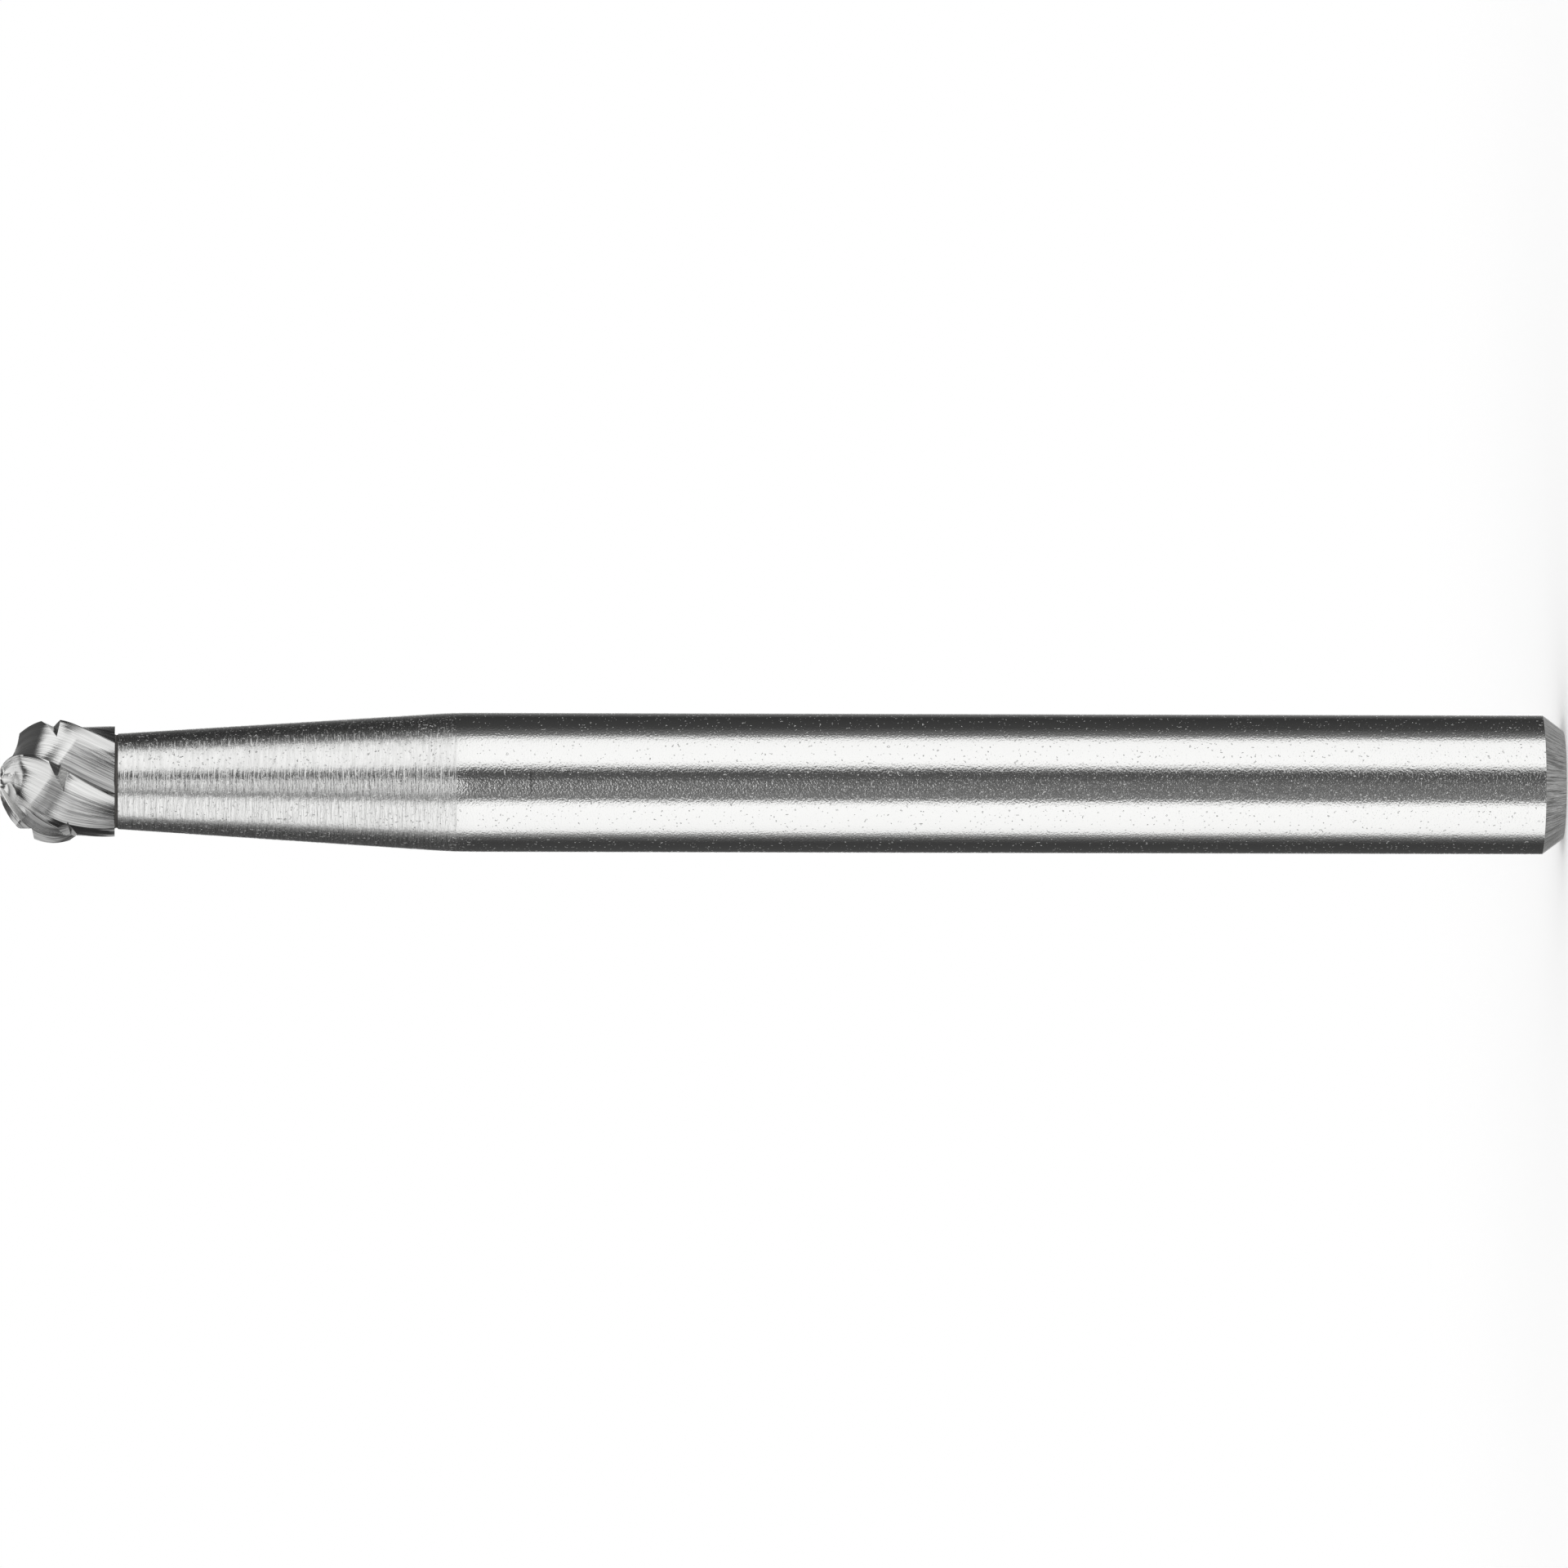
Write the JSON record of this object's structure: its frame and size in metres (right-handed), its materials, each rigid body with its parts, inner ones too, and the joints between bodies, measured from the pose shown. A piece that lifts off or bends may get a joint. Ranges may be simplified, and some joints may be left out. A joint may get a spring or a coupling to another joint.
{
  "type": "carbide burr",
  "caption": "Small rotary burr: a ball-shaped carbide head with helical teeth and a chip breaker, brazed to a tapered neck on a straight round steel shank.",
  "frame": {"origin": "centre of the shank's flat end face", "axes": "+Z along the tool's axis, from the shank's end towards the tip of the head"},
  "size_m": [0.003, 0.003, 0.0335],
  "materials": {
    "steel": "polished shank with fine turned neck",
    "braze": "dark oxidised brazing alloy",
    "carbide": "ground tungsten carbide"
  },
  "bodies": {
    "root": {"steel_shank": "steel", "braze_joint": "braze", "carbide_head": "carbide"}
  },
  "joints": []
}
